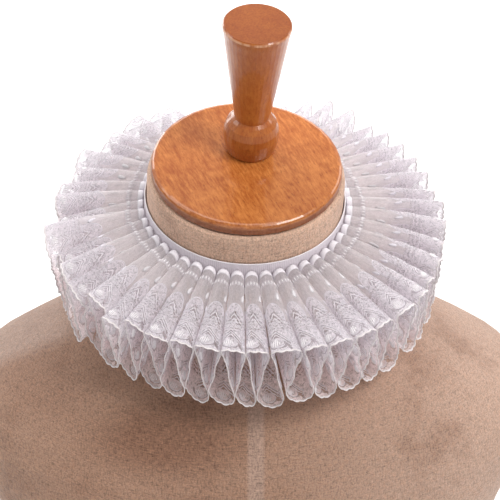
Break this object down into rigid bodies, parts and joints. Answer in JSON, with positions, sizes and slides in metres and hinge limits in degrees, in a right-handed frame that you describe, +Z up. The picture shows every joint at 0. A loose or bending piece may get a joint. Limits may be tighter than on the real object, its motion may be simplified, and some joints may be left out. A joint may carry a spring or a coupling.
{
  "type": "ruff collar on dress form",
  "caption": "Organ-pleated lace ruff collar on a ribbed neck band, standing on a limbless dress form with a turned wooden neck cap and finial.",
  "frame": {"origin": "centre of the dress form's flat underside, straight below the centre of the neck cap's top", "axes": "+Z up, -Y the way the wearer faces, +X to the wearer's left"},
  "size_m": [0.38, 0.2487, 0.6397],
  "materials": {
    "dress_form": "matt linen cover",
    "neck_cap": "varnished",
    "finial": "varnished",
    "neck_band": "ribbed elastic",
    "lace_ruff": "sheer embroidered lace"
  },
  "bodies": {
    "root": {"dress_form": "dress_form", "neck_cap": "neck_cap", "finial": "finial", "neck_band": "neck_band", "lace_ruff": "lace_ruff"}
  },
  "joints": []
}
